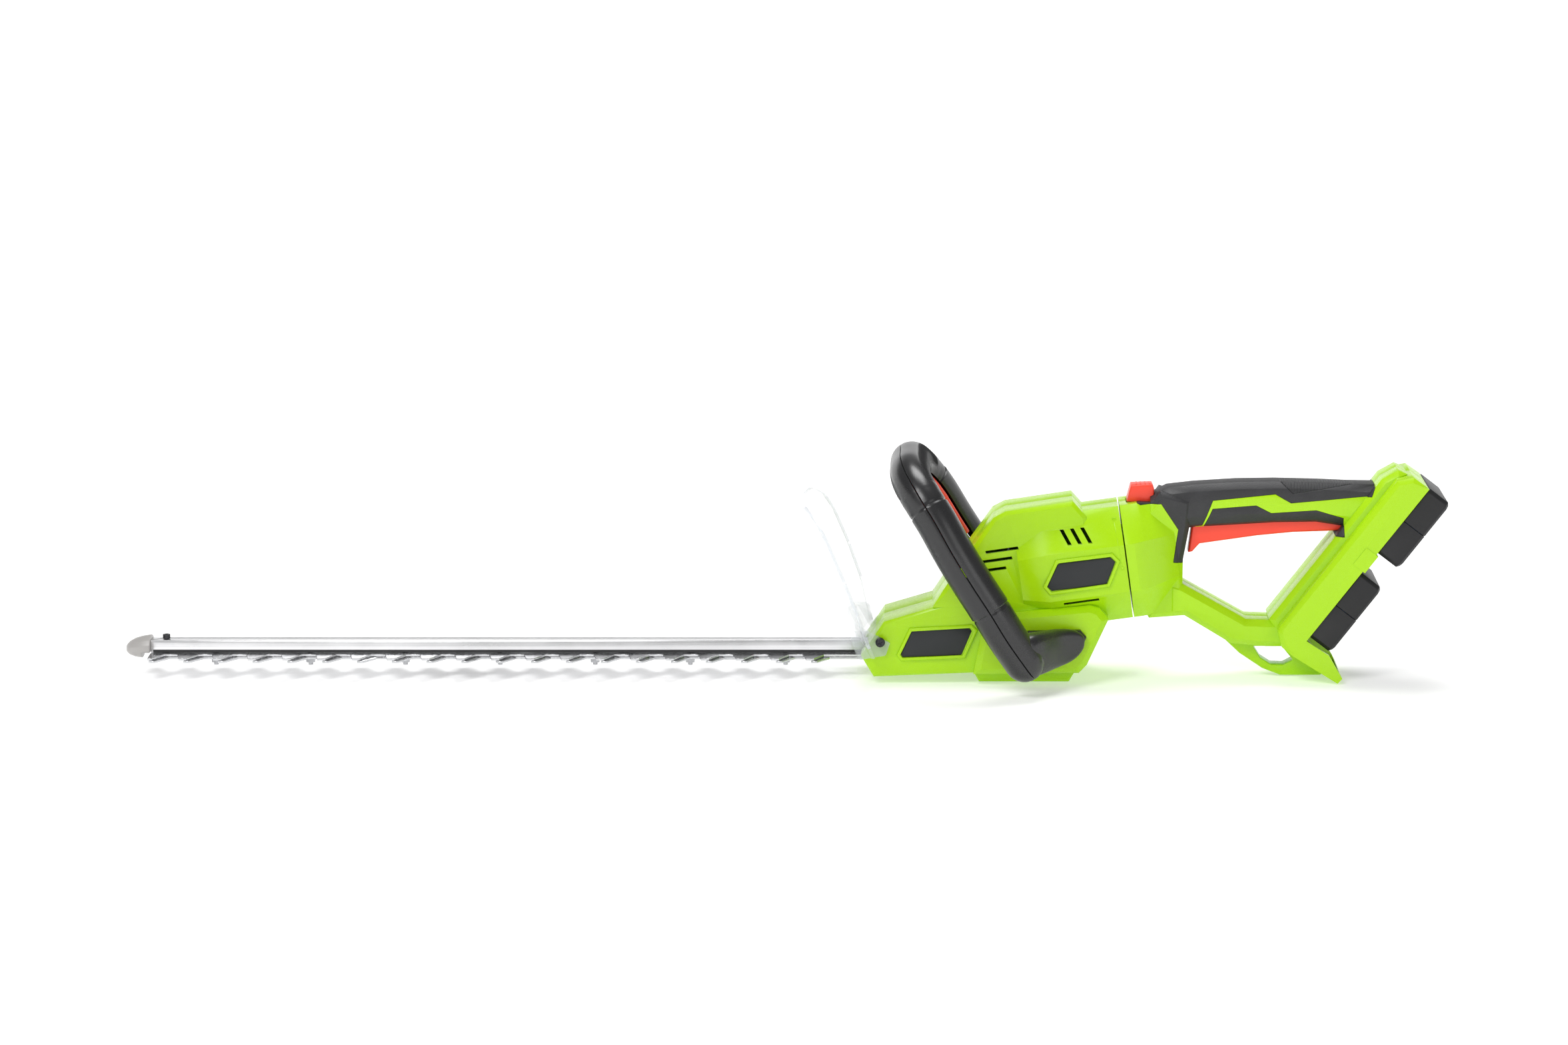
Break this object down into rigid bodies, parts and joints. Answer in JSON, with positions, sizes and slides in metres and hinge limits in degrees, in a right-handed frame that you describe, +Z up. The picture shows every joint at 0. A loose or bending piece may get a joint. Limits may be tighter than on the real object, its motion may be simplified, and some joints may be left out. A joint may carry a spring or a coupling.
{
  "type": "hedge trimmer",
  "caption": "Cordless hedge trimmer with a toothed double blade on an aluminium rail, clear hand guard, loop front handle, swivelling rear handle and slide-on battery packs.",
  "frame": {"origin": "centre of the front foot's flat underside, on the floor the tool rests on", "axes": "the blade runs along -X, +Z is up, -Y is the user's left when the tool is held"},
  "size_m": [1.0949, 0.2056, 0.1911],
  "materials": {
    "lime_case": "moulded lime-green plastic, fine satin sheen",
    "black_case": "moulded black plastic, fine spark texture",
    "grip_rubber": "soft black overmould",
    "red_switch": "bright red moulded plastic",
    "clear_guard": "clear shield plastic",
    "grey_nose": "moulded grey plastic",
    "rail_aluminium": "extruded aluminium, lengthwise grain",
    "blade_steel": "punched and ground blade steel",
    "bright_steel": "plain steel",
    "dark_steel": "blackened steel",
    "plain_plate": "dark plain name plate, no wording",
    "board_green": "circuit board",
    "cell_wrap": "wrapped battery cells"
  },
  "bodies": {
    "casing": {"housing_left": "lime_case", "housing_right": "lime_case", "foot_cover": "lime_case", "hand_guard": "clear_guard", "guard_screw_left": "dark_steel", "guard_screw_right": "dark_steel", "blade_rail": "rail_aluminium", "nose_cap": "grey_nose", "nose_bolt": "dark_steel", "blade_bolt_1": "bright_steel", "blade_bolt_2": "bright_steel", "blade_bolt_3": "bright_steel", "blade_bolt_4": "bright_steel", "blade_bolt_5": "bright_steel", "blade_bolt_6": "bright_steel", "blade_bolt_7": "bright_steel", "motor_can": "dark_steel", "crank_pin": "bright_steel", "drive_plate": "bright_steel", "controller_board": "board_green", "loop_front_shell": "black_case", "loop_rear_shell": "black_case", "loop_screw_left": "dark_steel", "loop_screw_right": "dark_steel", "front_switch": "black_case", "front_switch_spring": "bright_steel", "nose_plate_left": "plain_plate", "nose_plate_right": "plain_plate", "badge_plate_left": "plain_plate", "badge_plate_right": "plain_plate", "swivel_ring": "bright_steel", "rail_screw_front": "dark_steel", "rail_screw_rear": "dark_steel"},
    "upper_blade": {"upper_blade": "blade_steel"},
    "lower_blade": {"lower_blade": "blade_steel"},
    "crank": {"crank_gear": "bright_steel"},
    "rotor": {"motor_shaft": "bright_steel", "cooling_fan": "black_case"},
    "rear_handle": {"rear_handle_left": "lime_case", "rear_handle_right": "lime_case", "hang_ring": "lime_case", "upper_grip": "grip_rubber", "lower_grip": "grip_rubber", "trigger_pin": "bright_steel", "trigger_switch": "black_case", "trigger_spring": "bright_steel", "lock_spring": "bright_steel", "lower_terminals": "black_case", "upper_terminals": "black_case"},
    "trigger": {"rear_trigger": "red_switch"},
    "lock": {"lock_button": "red_switch"},
    "switch_bar": {"front_switch_bar": "red_switch"},
    "lower_pack": {"lower_pack_case_front": "black_case", "lower_pack_case_rear": "black_case", "lower_pack_cells": "cell_wrap"},
    "lower_latch": {"lower_pack_latch": "black_case"},
    "upper_pack": {"upper_pack_case_front": "black_case", "upper_pack_case_rear": "black_case", "upper_pack_cells": "cell_wrap"},
    "upper_latch": {"upper_pack_latch": "black_case"}
  },
  "joints": [
    {"name": "upper_blade_slide", "type": "slide", "parent": "casing", "child": "upper_blade", "axis": [1, 0, 0], "range_m": [-0.007, 0.007]},
    {"name": "lower_blade_slide", "type": "slide", "parent": "casing", "child": "lower_blade", "axis": [1, 0, 0], "range_m": [-0.007, 0.007]},
    {"name": "crank_spin", "type": "hinge", "parent": "casing", "child": "crank", "pos_m": [-0.012, 0, 0.02], "axis": [0, 0, 1], "continuous": true},
    {"name": "motor_spin", "type": "hinge", "parent": "casing", "child": "rotor", "pos_m": [0.017, 0, 0.02], "axis": [0, 0, 1], "continuous": true},
    {"name": "handle_swivel", "type": "hinge", "parent": "casing", "child": "rear_handle", "pos_m": [0.0842, 0, 0.09905], "axis": [0.9907, 0, 0.1357], "range_deg": [-90, 90]},
    {"name": "trigger_hinge", "type": "hinge", "parent": "rear_handle", "child": "trigger", "pos_m": [0.2588, 0, 0.1308], "axis": [0, 1, 0], "range_deg": [0, 3.5], "stiffness_Nm_per_rad": 1.5, "springref_deg": -5.73, "deforming": ["trigger_spring"]},
    {"name": "lock_slide", "type": "slide", "parent": "rear_handle", "child": "lock", "axis": [0, 0, 1], "range_m": [-0.004, 0], "stiffness_N_per_m": 400, "springref_m": 0.003, "deforming": ["lock_spring"]},
    {"name": "switch_bar_slide", "type": "slide", "parent": "casing", "child": "switch_bar", "axis": [-0.5, 0, 0.866], "range_m": [0, 0.0035], "stiffness_N_per_m": 600, "springref_m": -0.003, "deforming": ["front_switch_spring"]},
    {"name": "lower_pack_slide", "type": "slide", "parent": "rear_handle", "child": "lower_pack", "axis": [0, 1, 0], "range_m": [0, 0.078]},
    {"name": "lower_latch_slide", "type": "slide", "parent": "lower_pack", "child": "lower_latch", "axis": [0, -1, 0], "range_m": [0, 0.0022], "stiffness_N_per_m": 500, "springref_m": -0.002},
    {"name": "upper_pack_slide", "type": "slide", "parent": "rear_handle", "child": "upper_pack", "axis": [0, 1, 0], "range_m": [0, 0.078]},
    {"name": "upper_latch_slide", "type": "slide", "parent": "upper_pack", "child": "upper_latch", "axis": [0, -1, 0], "range_m": [0, 0.0022], "stiffness_N_per_m": 500, "springref_m": -0.002}
  ],
  "couplings": [
    {"joint": "lower_blade_slide", "follows": "upper_blade_slide", "ratio": -1},
    {"joint": "motor_spin", "follows": "crank_spin", "ratio": -5}
  ]
}
